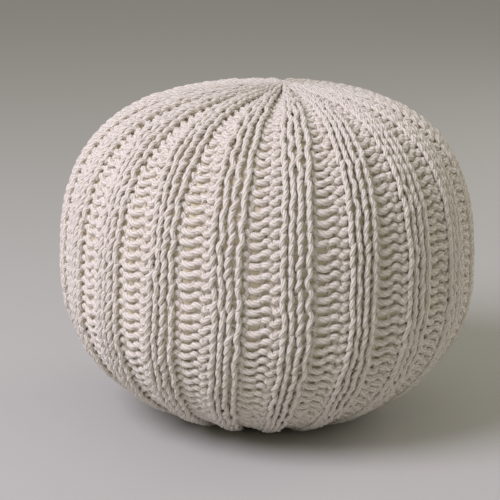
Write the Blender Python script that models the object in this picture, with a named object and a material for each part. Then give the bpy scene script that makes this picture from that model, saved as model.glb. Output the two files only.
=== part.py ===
"""Round knitted pouf: one filled, rib-knitted cushion, drawn in at the top, that stands on a flat base.

Metres, +Z up. The origin is the middle of the base, on the surface that the pouf stands on.
The front of the pouf is towards -Y, and azimuths run from -Y towards +X.
"""

import math

import bmesh
import bpy

# Filled form, measured over the crests of the knit ribs
WIDEST_RADIUS = 0.255
WIDEST_HEIGHT = 0.181      # height of the widest course above the floor
CROWN_RISE = 0.227         # from the widest course up to the flat of the crown
CROWN_SQUARENESS = 2.87    # superellipse exponent: a broad, flat-shouldered top
UNDER_SQUARENESS = 2.07    # superellipse exponent: an almost elliptical underside
UNDER_FLATTENING = 0.014   # how far the round underside is pressed up by the floor

# Knit ribs and the purl channels between them
RIB_COUNT = 20
FIRST_RIB_AZIMUTH = math.radians(7.1)
CHANNEL_DEPTH = 0.005
CHANNEL_SHARPNESS = 1.5    # above 1 keeps the crests broad and the channels narrow
RIB_TWIST_AT_BASE = math.radians(-4.0)

# Gather that draws the top courses together, a little off the middle of the crown
GATHER_SHIFT_X = 0.019
GATHER_SHIFT_Y = 0.022
GATHER_PULL_POWER = 1.6    # how soon the ribs bend towards the gather on their way up
GATHER_MOUTH_RADIUS = 0.012
DIMPLE_DEPTH = 0.007
DIMPLE_RADIUS = 0.022

# Mesh density
SEGMENTS_PER_RIB = 8
CROWN_RINGS = 13
UNDER_RINGS = 9

COVER_COLOUR = (0.80, 0.75, 0.66, 1.0)
COVER_ROUGHNESS = 0.95


def clear_scene():
    for old in list(bpy.data.objects):
        bpy.data.objects.remove(old, do_unlink=True)


def crown_height(radius):
    """Height of the crown's outer surface at a distance from the pouf's axis."""
    share = min(radius / WIDEST_RADIUS, 1.0)
    rise = (1.0 - share ** CROWN_SQUARENESS) ** (1.0 / CROWN_SQUARENESS)
    return WIDEST_HEIGHT + CROWN_RISE * rise


def under_radius(height):
    """Distance of the underside's outer surface from the axis at a height above the floor."""
    drop = (WIDEST_HEIGHT - height) / (WIDEST_HEIGHT + UNDER_FLATTENING)
    return WIDEST_RADIUS * (1.0 - drop ** UNDER_SQUARENESS) ** (1.0 / UNDER_SQUARENESS)


def channel_depth_at(turn):
    """Depth of the surface below the rib crests at a share of the way round one rib repeat."""
    wave = 0.5 - 0.5 * math.cos(2.0 * math.pi * turn)
    return CHANNEL_DEPTH * wave ** CHANNEL_SHARPNESS


def crown_ring(ring_radius, inset_scale):
    """One course of the crown, shifted towards the gather as it climbs."""
    pull = 1.0 - (ring_radius / WIDEST_RADIUS) ** GATHER_PULL_POWER
    dimple = DIMPLE_DEPTH * math.exp(-(ring_radius / DIMPLE_RADIUS) ** 2)
    points = []
    for step in range(RIB_COUNT * SEGMENTS_PER_RIB):
        turn = step / SEGMENTS_PER_RIB
        azimuth = FIRST_RIB_AZIMUTH + 2.0 * math.pi * turn / RIB_COUNT
        x = GATHER_SHIFT_X * pull + ring_radius * math.sin(azimuth)
        y = GATHER_SHIFT_Y * pull - ring_radius * math.cos(azimuth)
        from_axis = math.hypot(x, y)
        steep = (from_axis / WIDEST_RADIUS) ** 2
        depth = channel_depth_at(turn) * inset_scale
        inwards = 1.0 - depth * steep / from_axis
        z = crown_height(from_axis) - dimple - depth * (1.0 - steep)
        points.append((x * inwards, y * inwards, z))
    return points


def under_ring(height):
    """One course of the underside, turned a little as the ribs run down to the base."""
    down = 1.0 - height / WIDEST_HEIGHT
    radius = under_radius(height)
    points = []
    for step in range(RIB_COUNT * SEGMENTS_PER_RIB):
        turn = step / SEGMENTS_PER_RIB
        azimuth = FIRST_RIB_AZIMUTH + 2.0 * math.pi * turn / RIB_COUNT + RIB_TWIST_AT_BASE * down
        inset = radius - channel_depth_at(turn)
        points.append((inset * math.sin(azimuth), -inset * math.cos(azimuth), height))
    return points


def cover_rings():
    """All courses of the cover in order, from the edge of the flat base up to the gather's mouth."""
    rings = []
    for index in range(UNDER_RINGS):
        height = WIDEST_HEIGHT * (1.0 - math.cos(0.5 * math.pi * index / UNDER_RINGS))
        rings.append(under_ring(height))
    for index in range(CROWN_RINGS + 1):
        inwards = math.sin(0.5 * math.pi * index / CROWN_RINGS) ** 2
        ring_radius = WIDEST_RADIUS + (GATHER_MOUTH_RADIUS - WIDEST_RADIUS) * inwards
        inset_scale = min(1.0, ring_radius / (4.0 * GATHER_MOUTH_RADIUS))
        rings.append(crown_ring(ring_radius, inset_scale))
    return rings


def cover_material():
    material = bpy.data.materials.new("ivory cotton knit")
    material.use_nodes = True
    shader = material.node_tree.nodes["Principled BSDF"]
    shader.inputs["Base Color"].default_value = COVER_COLOUR
    shader.inputs["Roughness"].default_value = COVER_ROUGHNESS
    shader.inputs["Metallic"].default_value = 0.0
    return material


def make_knit_cover():
    """The stuffed cover as one closed solid: rib crests, purl channels, gathered top and flat base."""
    mesh = bpy.data.meshes.new("knit_cover")
    build = bmesh.new()
    loops = [[build.verts.new(point) for point in ring] for ring in cover_rings()]
    count = RIB_COUNT * SEGMENTS_PER_RIB
    for lower, upper in zip(loops, loops[1:]):
        for step in range(count):
            after = (step + 1) % count
            build.faces.new((lower[step], lower[after], upper[after], upper[step]))
    build.faces.new(list(reversed(loops[0])))
    build.faces.new(loops[-1])
    bmesh.ops.recalc_face_normals(build, faces=build.faces)
    build.to_mesh(mesh)
    build.free()
    mesh.shade_smooth()
    mesh.materials.append(cover_material())
    cover = bpy.data.objects.new("knit_cover", mesh)
    bpy.context.scene.collection.objects.link(cover)
    return cover


clear_scene()
make_knit_cover()
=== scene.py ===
"""Looks of the knitted pouf: its cover as real yarn, course by course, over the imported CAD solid.

Metres, +Z up. The front of the pouf is towards -Y, and azimuths run from -Y towards +X. A place on the cover
is an azimuth and an arc, which is the distance over the surface from the gather at the crown, down towards
the middle of the base. A place across the wales counts stitches round the pouf, and its whole numbers are
the edges between wales. The knit is worked down from the gather, so the heads of its loops point down.
"""

import math

import bpy
import numpy as np
from mathutils import Euler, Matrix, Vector


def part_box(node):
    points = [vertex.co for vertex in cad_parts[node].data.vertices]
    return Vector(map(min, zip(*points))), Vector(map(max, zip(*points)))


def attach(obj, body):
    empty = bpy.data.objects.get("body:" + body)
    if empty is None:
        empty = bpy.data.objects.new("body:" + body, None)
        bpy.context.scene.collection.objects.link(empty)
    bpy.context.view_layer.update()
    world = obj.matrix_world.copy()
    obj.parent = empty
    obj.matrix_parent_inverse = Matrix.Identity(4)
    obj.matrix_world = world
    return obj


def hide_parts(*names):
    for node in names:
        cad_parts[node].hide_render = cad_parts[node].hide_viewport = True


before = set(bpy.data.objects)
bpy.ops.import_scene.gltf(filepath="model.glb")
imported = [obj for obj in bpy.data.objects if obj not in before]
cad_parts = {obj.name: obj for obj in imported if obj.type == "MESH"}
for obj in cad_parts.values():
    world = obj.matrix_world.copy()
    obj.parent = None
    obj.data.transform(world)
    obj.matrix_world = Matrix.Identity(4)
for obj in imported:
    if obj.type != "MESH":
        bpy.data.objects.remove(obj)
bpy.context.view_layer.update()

# Outer form, as in the CAD solid
COVER_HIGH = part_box("knit_cover")[1]
WIDEST_RADIUS = 0.255
WIDEST_HEIGHT = 0.181
CROWN_RISE = COVER_HIGH.z - WIDEST_HEIGHT
CROWN_SQUARENESS = 2.87
UNDER_SQUARENESS = 2.07
UNDER_FLATTENING = 0.014
RIB_TWIST_AT_BASE = math.radians(-4.0)
MERIDIAN_STEPS = 600        # on the crown, and again below the widest ring

# Where the ribs meet, off the axis
GATHER_SHIFT_X = 0.019
GATHER_SHIFT_Y = 0.028
GATHER_PULL_POWER = 1.6     # higher spreads the shift further down the crown
GATHER_LIFT = 0.0018        # the ropes pile up where they meet
GATHER_LIFT_RADIUS = 0.016
GATHER_MOUTH_RADIUS = 0.005
BASE_SHIFT_X = -0.008
BASE_SHIFT_Y = 0.030
BASE_PULL_POWER = 2.0
BASE_BLEND = 0.6            # share of the way under the pouf over which the knit takes its base form
SURFACE_END = 0.002         # the yarn keeps this far from both ends of the meridian

# Knit layout: each repeat is knit, knit, purl, purl
RIB_COUNT = 20
WALES_PER_RIB = 4
KNIT_WALES = 2
FIRST_RIB_AZIMUTH = math.radians(7.1)
COURSE_PITCH_AT_WIDEST = 0.0117
COURSE_PITCH_AT_ENDS = 0.0136
COURSES_PER_PIECE = 12
KNIT_BAND_WIDTH = 0.036     # of the two knit wales of a repeat
KNIT_BAND_SPREAD = 0.003    # how much wider it is where the cover is stretched most
KNIT_BAND_UNEVENNESS = 0.09
KNIT_SHARE_AT_GATHER = 0.62  # most of a repeat's width that the knit band takes there
KNIT_SHARE_AT_BASE = 0.42
CROWDING_FROM = 0.060       # repeat width where the ribs begin to crowd together
CROWDING_FULL = 0.020

# Layout of one repeat, by place across its wales (0 and 1 to 2 are knit, 2 to 4 purl)
KNIT_PLACES = (             # place, share of the knit band
    (0.0, -0.5), (1.0, -0.05), (2.0, 0.5),
)
PURL_PLACES = (             # place, share of the rest of the repeat
    (2.0, 0.0), (2.3, 0.08), (2.5, 0.34), (3.0, 0.66), (3.5, 0.875), (4.0, 1.0),
)
CHANNEL_PLACES = (          # place, share of the channel's depth
    (0.0, 0.15), (0.3, 0.0), (1.7, 0.0), (2.0, 0.45), (2.25, 1.0),
    (2.5, 0.9), (3.0, 0.65), (3.5, 0.45), (3.85, 0.3), (4.0, 0.15),
)
CHANNEL_DEPTH = 0.0055
CHANNEL_DEPTH_AT_GATHER = 0.005
RIB_ROUNDING_AT_GATHER = 0.003

# Yarn
YARN_RADIUS = 0.0032
YARN_RADIUS_IN_PURL = 0.0041
YARN_RADIUS_LEFT_LEG = 0.0031
YARN_SIDES = 6
PLIES = 5.0
PLY_TURNS_PER_METRE = 27.0
THINNING_AT_GATHER = 0.45   # share of the radius lost where the repeats are narrowest
THINNING_AT_BASE = 0.13
THINNING_FROM = 0.045       # repeat width where the yarn begins to thin
THINNING_SPAN = 0.038

# Stitch
STITCH_SEGMENTS = 16
KNIT_LOOP_HEIGHT = 0.80     # from a loop's middle to its head, in course pitches
PURL_LOOP_HEIGHT = 0.70
LEG_LEAN = 0.105            # keeps a leg upright, in wale widths
LEG_LEAN_LEFT = 0.17        # of a knit wale's left leg, which slants
LEG_STRETCH_LEFT = 0.4      # lengthens that leg
LEG_LATE_LEFT = 0.04        # how much later that leg comes to the front, in wale widths
LOOP_DEPTH = 0.0034         # from the middle of the fabric to a leg or a head, front to back
LOOP_DEPTH_LOSS = 0.3       # share of it lost at a gather
OUTER_LEG_DEPTH = 0.3       # share of it that the purl leg beside a rib goes back
SIDE_CHANGE = 0.14          # part of a stitch over which knit turns to purl

# Unevenness from stitch to stitch, as standard deviations
FIRST_COURSE_SEED = 100
LOOP_HEIGHT_SPREAD = 0.07
LOOP_ASIDE_SPREAD = 0.04    # in wale widths
LOOP_PROUD_SPREAD = 0.0004
LEG_SLANT_SPREAD = 0.15

# Unevenness over the whole cover, as the size of each set of waves
COURSE_WANDER_SIZE = 0.0012
ROW_WANDER_SIZE = 0.0007
ROPE_WANDER_SIZE = 0.0011
ROPE_WANDER_RADIUS = 0.05   # ring radius from which the ropes wander less, towards a gather
RIB_WANDER_ANGLE = 0.0035
LOOSENESS_SIZE = 0.03
THICKNESS_SIZE = 0.05

# The filled body under the yarn
GROUND_RINGS = 70
GROUND_POINTS_PER_RIB = 8
GROUND_END = 0.004          # left open at both ends of the meridian
GROUND_BELOW_LOOPS = 0.7    # in yarn radii, below the back of the loops


def smooth_step(value):
    value = np.clip(value, 0.0, 1.0)
    return value * value * (3.0 - 2.0 * value)


def by_place(within, table):
    places, values = zip(*table)
    return np.interp(within, places, values)


def crown_height(radius):
    share = np.clip(radius / WIDEST_RADIUS, 0.0, 1.0)
    return WIDEST_HEIGHT + CROWN_RISE * (1.0 - share**CROWN_SQUARENESS) ** (1.0 / CROWN_SQUARENESS)


def under_height(radius):
    """Height under the widest ring, flat on the floor towards the middle."""
    share = np.clip(radius / WIDEST_RADIUS, 0.0, 1.0)
    fullness = (1.0 - share**UNDER_SQUARENESS) ** (1.0 / UNDER_SQUARENESS)
    return np.maximum(WIDEST_HEIGHT - (WIDEST_HEIGHT + UNDER_FLATTENING) * fullness, 0.0)


def meridian():
    """Arc, ring radius and height from the gather to the middle of the base."""
    turn = np.linspace(0.0, 0.5 * math.pi, MERIDIAN_STEPS)
    crown_radius = WIDEST_RADIUS * np.cos(turn[::-1]) ** (2.0 / CROWN_SQUARENESS)
    under_radius = WIDEST_RADIUS * np.cos(turn[1:]) ** (2.0 / UNDER_SQUARENESS)
    radius = np.concatenate([crown_radius, under_radius])
    height = np.concatenate([crown_height(crown_radius), under_height(under_radius)])
    arc = np.concatenate([[0.0], np.cumsum(np.hypot(np.diff(radius), np.diff(height)))])
    return arc, radius, height


ARC, RING_RADIUS, RING_HEIGHT = meridian()
WIDEST_ARC = ARC[MERIDIAN_STEPS - 1]


def outer_surface(azimuth, arc):
    """Point on the outer surface, over the crests of the ribs."""
    radius = np.interp(arc, ARC, RING_RADIUS)
    height = np.interp(arc, ARC, RING_HEIGHT)
    above = arc <= WIDEST_ARC
    down = np.where(above, 0.0, 1.0 - height / WIDEST_HEIGHT)
    turned = azimuth + RIB_TWIST_AT_BASE * down
    pull = np.where(above, 1.0 - (radius / WIDEST_RADIUS) ** GATHER_PULL_POWER, 0.0)
    base_pull = np.where(above, 0.0, 1.0 - (radius / WIDEST_RADIUS) ** BASE_PULL_POWER)
    x = GATHER_SHIFT_X * pull + BASE_SHIFT_X * base_pull + radius * np.sin(turned)
    y = GATHER_SHIFT_Y * pull + BASE_SHIFT_Y * base_pull - radius * np.cos(turned)
    from_axis = np.hypot(x, y)
    lift = GATHER_LIFT * np.exp(-((radius / GATHER_LIFT_RADIUS) ** 2))
    z = np.where(above, crown_height(from_axis) + lift, under_height(from_axis))
    return np.stack([x, y, z], axis=-1)


def surface_frame(azimuth, arc):
    """Point and outward normal of the outer surface."""
    step_round = 0.002
    step_down = 0.0015
    least_arc = 1e-4
    least_length = 1e-12
    low_arc = np.maximum(arc - step_down, least_arc)
    across = outer_surface(azimuth + step_round, arc) - outer_surface(azimuth - step_round, arc)
    along = outer_surface(azimuth, arc + step_down) - outer_surface(azimuth, low_arc)
    normal = np.cross(along, across)
    normal /= np.maximum(np.linalg.norm(normal, axis=-1, keepdims=True), least_length)
    return outer_surface(azimuth, arc), normal


class Waves:
    """Smooth unevenness over the pouf: a few seeded waves round and down it, about -1 to 1."""

    def __init__(self, seed, most_round, most_down, count=7):
        least_rate = 0.35
        chance = np.random.default_rng(seed)
        self.round = chance.integers(1, most_round + 1, count)
        self.down = chance.uniform(least_rate, 1.0, count) * chance.choice([-most_down, most_down], count)
        self.phase = chance.uniform(0.0, 2.0 * math.pi, count)

    def at(self, azimuth, arc):
        total = np.zeros(np.broadcast(azimuth, arc).shape)
        for turns, rate, phase in zip(self.round, self.down, self.phase):
            total = total + np.sin(turns * azimuth + 2.0 * math.pi * rate * arc + phase)
        return total / math.sqrt(len(self.round))


# Seed, most waves round the pouf, most waves to a metre down it, number of waves
BAND_WIDTHS = Waves(2, 17, 6.0)
RIB_WANDER = Waves(3, 17, 7.0)
ROPE_WANDER = Waves(4, 75, 45.0, 18)
COURSE_WANDER = Waves(5, 9, 9.0)
ROW_WANDER = Waves(6, 60, 30.0, 18)
LOOSENESS = Waves(8, 23, 12.0)
THICKNESS = Waves(9, 150, 60.0, 18)


def repeat_width(arc):
    return 2.0 * math.pi * np.interp(arc, ARC, RING_RADIUS) / RIB_COUNT


def crowding(arc):
    """0 where the repeats lie open, 1 where they are drawn together at a gather."""
    return np.clip((CROWDING_FROM - repeat_width(arc)) / (CROWDING_FROM - CROWDING_FULL), 0.0, 1.0)


def toward_base(arc):
    """0 down to the widest ring, rising to 1 well under the pouf."""
    return smooth_step((arc - WIDEST_ARC) / (BASE_BLEND * (ARC[-1] - WIDEST_ARC)))


def wale_azimuth(wale, arc):
    """Azimuth of a place across the wales."""
    least_width = 1e-6
    width = np.maximum(repeat_width(arc), least_width)
    stretched = np.clip(width / (2.0 * math.pi * WIDEST_RADIUS / RIB_COUNT), 0.0, 1.0) ** 4
    repeat = np.floor(wale / WALES_PER_RIB)
    within = wale - repeat * WALES_PER_RIB
    rib_azimuth = FIRST_RIB_AZIMUTH + repeat * 2.0 * math.pi / RIB_COUNT
    uneven = 1.0 + KNIT_BAND_UNEVENNESS * BAND_WIDTHS.at(rib_azimuth, arc)
    share_most = KNIT_SHARE_AT_GATHER + (KNIT_SHARE_AT_BASE - KNIT_SHARE_AT_GATHER) * toward_base(arc)
    knit_share = (KNIT_BAND_WIDTH + KNIT_BAND_SPREAD * stretched) * uneven / width
    knit_share = np.clip(knit_share, 0.0, share_most)
    share = by_place(within, KNIT_PLACES) * knit_share + by_place(within, PURL_PLACES) * (1.0 - knit_share)
    return FIRST_RIB_AZIMUTH + (repeat + share) * 2.0 * math.pi / RIB_COUNT


def channel_offset(wale, arc):
    """How far the fabric lies below the crests of the ribs: purl wales sink between them."""
    within = np.mod(wale, WALES_PER_RIB)
    crowd = crowding(arc)
    depth = CHANNEL_DEPTH + (CHANNEL_DEPTH_AT_GATHER - CHANNEL_DEPTH) * crowd
    from_rib = np.minimum(np.abs(within - 1.0), np.abs(within - 1.0 - WALES_PER_RIB))
    rounding = RIB_ROUNDING_AT_GATHER * crowd * np.minimum(from_rib, 1.0) ** 2
    return depth * by_place(within, CHANNEL_PLACES) + rounding


def course_arcs():
    """Arc and pitch of each course's middle line, closer together where the cover is stretched round."""
    fine = np.linspace(0.0, ARC[-1], 4000)
    radius = np.interp(fine, ARC, RING_RADIUS)
    stretched = (radius / WIDEST_RADIUS) ** 2
    pitch = COURSE_PITCH_AT_ENDS + (COURSE_PITCH_AT_WIDEST - COURSE_PITCH_AT_ENDS) * stretched
    count = np.concatenate([[0.0], np.cumsum(np.diff(fine) / pitch[1:])])
    start = np.interp(GATHER_MOUTH_RADIUS, RING_RADIUS[:MERIDIAN_STEPS], ARC[:MERIDIAN_STEPS])
    end = ARC[-1] - GATHER_MOUTH_RADIUS
    first = np.interp(start, fine, count)
    last = np.interp(end, fine, count)
    courses = np.arange(int(last - first) + 1)
    arcs = np.interp(first + courses, count, fine)
    return arcs, np.interp(arcs, fine, pitch)


def knit_or_purl(stitch):
    return np.where(np.mod(stitch, WALES_PER_RIB) < KNIT_WALES, 1.0, -1.0)


def fabric_side(stitch, part):
    """1 in a knit stitch and -1 in a purl stitch, with a smooth change from one to the other."""
    face = knit_or_purl(stitch)
    before = knit_or_purl(stitch - 1)
    after = knit_or_purl(stitch + 1)
    into = smooth_step(0.5 + 0.5 * part / SIDE_CHANGE)
    out = smooth_step(0.5 - 0.5 * (1.0 - part) / SIDE_CHANGE)
    return np.where(part > 0.5, face + (after - face) * out, before + (face - before) * into)


def between_middles(values, stitch, part):
    """Per-stitch values, blended from the middle of one stitch to the middle of the next."""
    near = stitch + part - 0.5
    left = np.floor(near).astype(int) % len(values)
    right = (left + 1) % len(values)
    blend = near - np.floor(near)
    return values[left] * (1.0 - blend) + values[right] * blend


def loop_reach(part, knit, left_leg):
    """How far down a loop reaches from its course's middle line, in course pitches: most at its head."""
    height = PURL_LOOP_HEIGHT + (KNIT_LOOP_HEIGHT - PURL_LOOP_HEIGHT) * knit
    longer = np.where(left_leg, 1.0 + LEG_STRETCH_LEFT * np.sin(2.0 * math.pi * part) ** 2, 1.0)
    return -np.cos(2.0 * math.pi * part) * height * longer


def loop_swing(part, left_leg, outer_leg):
    """1 where a loop's legs stand out on its own side of the fabric, -1 at its head and feet."""
    late = np.where(left_leg, 0.5 * LEG_LATE_LEFT * (1.0 - np.cos(4.0 * math.pi * part)), 0.0)
    swing = -np.cos(4.0 * math.pi * (part - late))
    swing = np.where(left_leg, swing * (1.5 - 0.5 * swing * swing), swing)
    return np.where(outer_leg & (swing > 0.0), OUTER_LEG_DEPTH * swing, swing)


def yarn_radius(part, knit, left_leg, arc, lie, rib_azimuth):
    """Slimmer on a slanting leg, fuller in purl, and pressed thin at the gather and the base."""
    radius = YARN_RADIUS_IN_PURL + (YARN_RADIUS - YARN_RADIUS_IN_PURL) * knit
    slim = np.where(left_leg, np.sin(2.0 * math.pi * part) ** 2, 0.0)
    radius = radius + (YARN_RADIUS_LEFT_LEG - YARN_RADIUS) * slim
    narrow = np.clip((THINNING_FROM - repeat_width(lie)) / THINNING_SPAN, 0.0, 1.0)
    thin = 1.0 - THINNING_AT_GATHER * narrow - THINNING_AT_BASE * toward_base(arc)
    return radius * thin * (1.0 + THICKNESS_SIZE * THICKNESS.at(rib_azimuth, lie))


def course_line(arc, pitch, seed):
    """Centreline of one course, a closed ring of loops, with its normal and the yarn's radius."""
    stitches = RIB_COUNT * WALES_PER_RIB
    step = np.arange(stitches * STITCH_SEGMENTS)
    stitch = step // STITCH_SEGMENTS
    part = (step % STITCH_SEGMENTS) / STITCH_SEGMENTS
    chance = np.random.default_rng(seed)
    tall = 1.0 + LOOP_HEIGHT_SPREAD * chance.standard_normal(stitches)
    aside = LOOP_ASIDE_SPREAD * chance.standard_normal(stitches)
    proud = LOOP_PROUD_SPREAD * chance.standard_normal(stitches)
    slant = 1.0 + LEG_SLANT_SPREAD * chance.standard_normal(stitches)

    side = fabric_side(stitch, part)
    knit = 0.5 + 0.5 * side
    left_leg = (part < 0.5) & (knit_or_purl(stitch) > 0)
    outer_leg = (part < 0.5) & (np.mod(stitch, WALES_PER_RIB) == KNIT_WALES)
    leaning = np.where(left_leg, LEG_LEAN_LEFT * slant[stitch], LEG_LEAN)
    wale = stitch + part + leaning * np.sin(4.0 * math.pi * part) + between_middles(aside, stitch, part)
    reach = loop_reach(part, knit, left_leg) * between_middles(tall, stitch, part)
    loop_depth = LOOP_DEPTH * (1.0 - LOOP_DEPTH_LOSS * crowding(arc))
    front = side * loop_swing(part, left_leg, outer_leg) * loop_depth

    rib_azimuth = wale_azimuth(wale, arc)
    loose = 1.0 + LOOSENESS_SIZE * LOOSENESS.at(rib_azimuth, arc)
    wander = COURSE_WANDER_SIZE * COURSE_WANDER.at(rib_azimuth, arc)
    wander = wander + ROW_WANDER_SIZE * ROW_WANDER.at(rib_azimuth, arc)
    lie = np.clip(arc + pitch * (reach * loose) + wander, SURFACE_END, ARC[-1] - SURFACE_END)
    ring_radius = np.maximum(np.interp(lie, ARC, RING_RADIUS), ROPE_WANDER_RADIUS)
    azimuth = wale_azimuth(wale, lie) + RIB_WANDER_ANGLE * RIB_WANDER.at(rib_azimuth, lie)
    azimuth = azimuth + ROPE_WANDER_SIZE * ROPE_WANDER.at(rib_azimuth, lie) / ring_radius

    radius = yarn_radius(part, knit, left_leg, arc, lie, rib_azimuth)
    depth = loop_depth + radius - front + channel_offset(wale, lie) - between_middles(proud, stitch, part)
    point, normal = surface_frame(azimuth, lie)
    centre = point - normal * depth[:, None]
    centre[:, 2] = np.maximum(centre[:, 2], radius)
    return centre, normal, radius


def tube_around(centre, normal, radius):
    """Points of a round tube along a closed line, and the distance along it."""
    tangent = np.roll(centre, -1, axis=0) - np.roll(centre, 1, axis=0)
    tangent /= np.linalg.norm(tangent, axis=1, keepdims=True)
    across = np.cross(tangent, normal)
    across /= np.linalg.norm(across, axis=1, keepdims=True)
    up = np.cross(across, tangent)
    angle = 2.0 * math.pi * np.arange(YARN_SIDES) / YARN_SIDES
    ring = across[:, None, :] * np.cos(angle)[None, :, None] + up[:, None, :] * np.sin(angle)[None, :, None]
    points = centre[:, None, :] + ring * radius[:, None, None]
    lengths = np.linalg.norm(np.roll(centre, -1, axis=0) - centre, axis=1)
    return points.reshape(-1, 3), np.concatenate([[0.0], np.cumsum(lengths)])


def tube_faces(count):
    """Faces of a closed tube with this many rings of points, four corners each."""
    here = np.arange(count)[:, None]
    there = (here + 1) % count
    side = np.arange(YARN_SIDES)[None, :]
    next_side = (side + 1) % YARN_SIDES
    corners = [
        here * YARN_SIDES + side,
        there * YARN_SIDES + side,
        there * YARN_SIDES + next_side,
        here * YARN_SIDES + next_side,
    ]
    return np.stack(corners, axis=-1).reshape(-1, 4)


def ply_places(along):
    """Map places of a tube's face corners: turns of the plies along the yarn, and the way round it."""
    turns = np.round(along[-1] * PLY_TURNS_PER_METRE)
    turned = along * turns / along[-1]
    u = np.stack([turned[:-1], turned[1:], turned[1:], turned[:-1]], axis=-1)
    u = np.repeat(u[:, None, :], YARN_SIDES, axis=1)
    here = np.arange(YARN_SIDES) / YARN_SIDES
    after = here + 1.0 / YARN_SIDES
    v = np.stack([here, here, after, after], axis=-1)
    v = np.repeat(v[None, :, :], len(along) - 1, axis=0)
    return np.stack([u, v], axis=-1).reshape(-1, 2)


def new_piece(name, points, quads, material):
    """A smooth mesh of four-cornered faces, in the scene."""
    mesh = bpy.data.meshes.new(name)
    mesh.vertices.add(len(points))
    mesh.vertices.foreach_set("co", points.astype(np.float32).ravel())
    mesh.loops.add(quads.size)
    mesh.loops.foreach_set("vertex_index", quads.astype(np.int32).ravel())
    mesh.polygons.add(len(quads))
    mesh.polygons.foreach_set("loop_start", np.arange(0, quads.size, 4, dtype=np.int32))
    mesh.update(calc_edges=True)
    mesh.shade_smooth()
    mesh.materials.append(material)
    piece = bpy.data.objects.new(name, mesh)
    bpy.context.scene.collection.objects.link(piece)
    return piece


def yarn_piece(name, courses, material):
    """A band of courses as one mesh, with a map along and round the yarn for its plies."""
    points, quads, places = [], [], []
    first = 0
    for number, arc, pitch in courses:
        centre, normal, radius = course_line(arc, pitch, FIRST_COURSE_SEED + number)
        tube, along = tube_around(centre, normal, radius)
        points.append(tube)
        quads.append(first + tube_faces(len(centre)))
        places.append(ply_places(along))
        first += len(tube)
    piece = new_piece(name, np.concatenate(points), np.concatenate(quads), material)
    plies = piece.data.uv_layers.new(name="plies")
    plies.uv.foreach_set("vector", np.concatenate(places).astype(np.float32).ravel())
    return piece


def ground_piece(name, material):
    """The filled body under the yarn, seen only through the gaps between the loops."""
    count = RIB_COUNT * GROUND_POINTS_PER_RIB
    wale = np.arange(count) * WALES_PER_RIB / GROUND_POINTS_PER_RIB
    points = []
    for arc in np.linspace(GROUND_END, ARC[-1] - GROUND_END, GROUND_RINGS):
        along = np.full(count, arc)
        point, normal = surface_frame(wale_azimuth(wale, along), along)
        depth = 2.0 * LOOP_DEPTH + GROUND_BELOW_LOOPS * YARN_RADIUS + channel_offset(wale, along)
        points.append(point - normal * depth[:, None])
    points = np.concatenate(points)
    points[:, 2] = np.maximum(points[:, 2], 2.0 * YARN_RADIUS)
    ring = np.arange(GROUND_RINGS - 1)[:, None] * count
    here = np.arange(count)[None, :]
    after = (here + 1) % count
    corners = [ring + here, ring + count + here, ring + count + after, ring + after]
    return new_piece(name, points, np.stack(corners, axis=-1).reshape(-1, 4), material)


def new_material(name, roughness):
    material = bpy.data.materials.new(name)
    material.use_nodes = True
    shader = material.node_tree.nodes["Principled BSDF"]
    shader.inputs["Roughness"].default_value = roughness
    shader.inputs["Specular IOR Level"].default_value = 0.25
    return material, material.node_tree, shader


def maths(tree, operation, first, second=None):
    """A Math node on numbers or sockets."""
    node = tree.nodes.new("ShaderNodeMath")
    node.operation = operation
    for socket, value in zip(node.inputs, (first, second)):
        if value is None:
            continue
        if isinstance(value, (int, float)):
            socket.default_value = value
        else:
            tree.links.new(value, socket)
    return node.outputs[0]


def noise(tree, scale, detail):
    """A noise pattern fixed to the object."""
    coords = tree.nodes.new("ShaderNodeTexCoord")
    node = tree.nodes.new("ShaderNodeTexNoise")
    node.inputs["Scale"].default_value = scale
    node.inputs["Detail"].default_value = detail
    tree.links.new(coords.outputs["Object"], node.inputs["Vector"])
    return node.outputs["Fac"]


def tint(tree, first, second, factor):
    """A colour between two."""
    node = tree.nodes.new("ShaderNodeMix")
    node.data_type = "RGBA"
    node.inputs["A"].default_value = (*first, 1.0)
    node.inputs["B"].default_value = (*second, 1.0)
    tree.links.new(factor, node.inputs["Factor"])
    return node.outputs["Result"]


def multiplied(tree, colour, by, factor):
    """A colour multiplied by another one, as far as the factor says."""
    node = tree.nodes.new("ShaderNodeMix")
    node.data_type = "RGBA"
    node.blend_type = "MULTIPLY"
    tree.links.new(colour, node.inputs["A"])
    node.inputs["B"].default_value = (*by, 1.0)
    tree.links.new(factor, node.inputs["Factor"])
    return node.outputs["Result"]


def ply_ridges(tree):
    """1 on the crests of the yarn's plies and 0 in the grooves between them, winding round the yarn."""
    fullness = 0.6
    plies = tree.nodes.new("ShaderNodeUVMap")
    plies.uv_map = "plies"
    split = tree.nodes.new("ShaderNodeSeparateXYZ")
    tree.links.new(plies.outputs["UV"], split.inputs[0])
    turned = maths(tree, "MULTIPLY", maths(tree, "ADD", split.outputs[1], split.outputs[0]), PLIES)
    wave = maths(tree, "ABSOLUTE", maths(tree, "SINE", maths(tree, "MULTIPLY", turned, math.pi)))
    return maths(tree, "POWER", wave, fullness)


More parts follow.
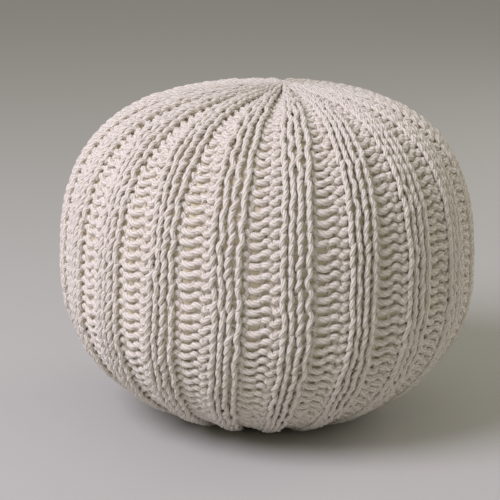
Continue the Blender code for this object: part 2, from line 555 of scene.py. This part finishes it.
def yarn_material():
    """Plied ivory cotton cord, with uneven colour, painted shade in the grooves between its plies, and fuzz.
    """
    groove_shade_share = 0.8
    fibre_share = 0.35
    material, tree, shader = new_material("ivory plied cotton", 0.92)
    shader.inputs["Sheen Weight"].default_value = 0.25
    shader.inputs["Sheen Roughness"].default_value = 0.5
    ridges = ply_ridges(tree)
    patches = noise(tree, 45.0, 3.0)
    fibres = noise(tree, 1100.0, 2.0)

    ivory = tint(tree, (0.82, 0.765, 0.67), (0.90, 0.86, 0.785), patches)
    # Painted shade: the ivory is darkened in the grooves between the plies, where shade falls
    grooves = maths(tree, "MULTIPLY", maths(tree, "SUBTRACT", 1.0, ridges), groove_shade_share)
    colour = multiplied(tree, ivory, (0.78, 0.73, 0.63), grooves)
    tree.links.new(colour, shader.inputs["Base Color"])

    bump = tree.nodes.new("ShaderNodeBump")
    bump.inputs["Strength"].default_value = 0.9
    bump.inputs["Distance"].default_value = 0.0009
    height = maths(tree, "ADD", ridges, maths(tree, "MULTIPLY", fibres, fibre_share))
    tree.links.new(height, bump.inputs["Height"])
    tree.links.new(bump.outputs["Normal"], shader.inputs["Normal"])
    return material


def ground_material():
    """Cream cloth under the yarn, darker and more olive than the yarn as painted shade in the gaps between
    the loops.
    """
    material, tree, shader = new_material("cream ground cloth with painted shade", 0.95)
    weave = noise(tree, 400.0, 2.0)
    # Painted shade: the cloth's cream is kept darker and more olive than the yarn's, standing in for the
    # shade in the gaps where it shows
    cream = tint(tree, (0.74, 0.68, 0.50), (0.83, 0.77, 0.60), weave)
    tree.links.new(cream, shader.inputs["Base Color"])
    return material


def build_cover():
    arcs, pitches = course_arcs()
    courses = list(zip(range(len(arcs)), arcs, pitches))
    yarn = yarn_material()
    pieces = []
    for start in range(0, len(courses), COURSES_PER_PIECE):
        name = "knit_courses_" + str(start // COURSES_PER_PIECE + 1)
        pieces.append(yarn_piece(name, courses[start : start + COURSES_PER_PIECE], yarn))
    pieces.append(ground_piece("knit_ground", ground_material()))
    for piece in pieces:
        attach(piece, "root")
        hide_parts("knit_cover")


def build_floor():
    reach = 6.0
    corners = [(-reach, -reach, 0), (reach, -reach, 0), (reach, reach, 0), (-reach, reach, 0)]
    mesh = bpy.data.meshes.new("floor")
    mesh.from_pydata(corners, [], [(0, 1, 2, 3)])
    material, tree, shader = new_material("pale floor", 0.8)
    shader.inputs["Base Color"].default_value = (0.54, 0.54, 0.51, 1.0)
    mesh.materials.append(material)
    floor = bpy.data.objects.new("floor", mesh)
    bpy.context.scene.collection.objects.link(floor)


def disk_light(name, place, size, power, colour):
    """A round soft light aimed at the middle of the pouf."""
    middle = Vector((0.0, 0.0, 0.2))
    data = bpy.data.lights.new(name, "AREA")
    data.shape = "DISK"
    data.size = size
    data.energy = power
    data.color = colour
    light = bpy.data.objects.new(name, data)
    light.location = place
    light.rotation_euler = (middle - Vector(place)).to_track_quat("-Z", "Y").to_euler()
    bpy.context.scene.collection.objects.link(light)


def build_lights():
    disk_light("key", (-1.95, -1.42, 2.42), 2.0, 95.0, (0.885, 0.83, 1.0))
    disk_light("fill", (2.3, 1.3, 1.3), 2.0, 20.0, (1.0, 0.94, 0.90))
    world = bpy.data.worlds.new("studio")
    world.use_nodes = True
    background = world.node_tree.nodes["Background"]
    background.inputs["Color"].default_value = (1.0, 0.965, 0.84, 1.0)
    background.inputs["Strength"].default_value = 0.345
    bpy.context.scene.world = world
    bpy.context.scene.view_settings.view_transform = "Standard"


def build_camera():
    pitch_down = math.radians(14.44)
    data = bpy.data.cameras.new("camera")
    data.sensor_width = 36.0
    data.lens = 125.9
    camera = bpy.data.objects.new("camera", data)
    camera.location = (-0.021, -2.09, 0.741)
    camera.rotation_euler = Euler((0.5 * math.pi - pitch_down, 0.0, 0.0))
    bpy.context.scene.collection.objects.link(camera)
    bpy.context.scene.camera = camera


build_camera()
build_lights()
build_floor()
build_cover()
